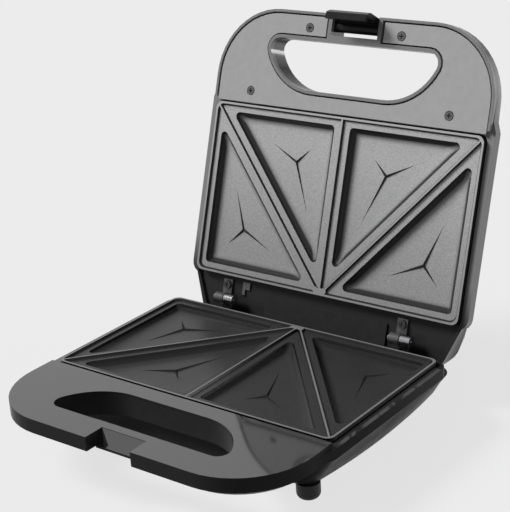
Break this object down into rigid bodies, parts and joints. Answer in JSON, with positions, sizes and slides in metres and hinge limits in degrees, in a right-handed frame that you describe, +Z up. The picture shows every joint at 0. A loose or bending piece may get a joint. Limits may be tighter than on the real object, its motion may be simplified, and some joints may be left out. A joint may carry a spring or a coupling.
{
  "type": "sandwich toaster",
  "caption": "Open sandwich toaster with a hinged lid, ribbed non-stick plates with triangular pockets, D-shaped finger openings in both handle halves and a front latch.",
  "frame": {"origin": "on the ground under the middle of the open toaster's outline", "axes": "+Z up, -Y towards the handle and the user, +X to the right as the user faces the toaster"},
  "size_m": [0.234, 0.3001, 0.25],
  "materials": {
    "black_casing": "fine satin",
    "gloss_black": "gloss",
    "grey_bezel": "satin",
    "nonstick_plate": "satin non-stick coating on pressed aluminium",
    "black_rubber": "matte",
    "lead_insulation": "satin",
    "white_block": "satin",
    "ceramic": "matte",
    "element_steel": "dull",
    "reflector_steel": "satin",
    "bright_steel": "bright",
    "red_lens": "clear tinted",
    "green_lens": "clear tinted",
    "lamp_glass": "clear"
  },
  "bodies": {
    "base": {"base_shell": "black_casing", "base_frame": "gloss_black", "lower_plate": "nonstick_plate", "lower_heater": "element_steel", "lower_heater_clamps": "bright_steel", "lower_reflector": "reflector_steel", "lower_plate_screws": "bright_steel", "lower_reflector_screws": "bright_steel", "base_screws": "bright_steel", "rubber_feet": "black_rubber", "cord_gland": "black_casing", "cord_clamp": "black_casing", "cord_clamp_screws": "bright_steel", "terminal_block": "white_block", "base_wiring": "lead_insulation", "base_hinge_left": "bright_steel", "base_hinge_right": "bright_steel", "base_hinge_screws": "bright_steel", "hinge_pin_left": "bright_steel", "hinge_pin_right": "bright_steel"},
    "lid": {"lid_shell": "black_casing", "lid_bezel": "grey_bezel", "lid_bezel_screws": "bright_steel", "upper_plate": "nonstick_plate", "upper_heater": "element_steel", "upper_heater_clamps": "bright_steel", "upper_reflector": "reflector_steel", "upper_plate_screws": "bright_steel", "upper_reflector_screws": "bright_steel", "thermostat": "ceramic", "thermal_fuse": "bright_steel", "power_lamp_lens": "red_lens", "ready_lamp_lens": "green_lens", "neon_lamps": "lamp_glass", "lid_hinge_left": "bright_steel", "lid_hinge_right": "bright_steel", "lid_hinge_screws": "bright_steel", "wire_cover": "black_casing", "plate_earth_tab": "bright_steel", "lid_wiring": "lead_insulation", "latch_pin": "bright_steel"},
    "latch": {"latch": "black_casing"}
  },
  "joints": [
    {"name": "lid_hinge", "type": "hinge", "parent": "base", "child": "lid", "pos_m": [0, 0.0662, 0.0433], "axis": [1, 0, 0], "range_deg": [0, 108.1]},
    {"name": "latch_pivot", "type": "hinge", "parent": "lid", "child": "latch", "pos_m": [0, 0.13822, 0.23564], "axis": [-1, 0, 0], "range_deg": [-12, 30]}
  ]
}
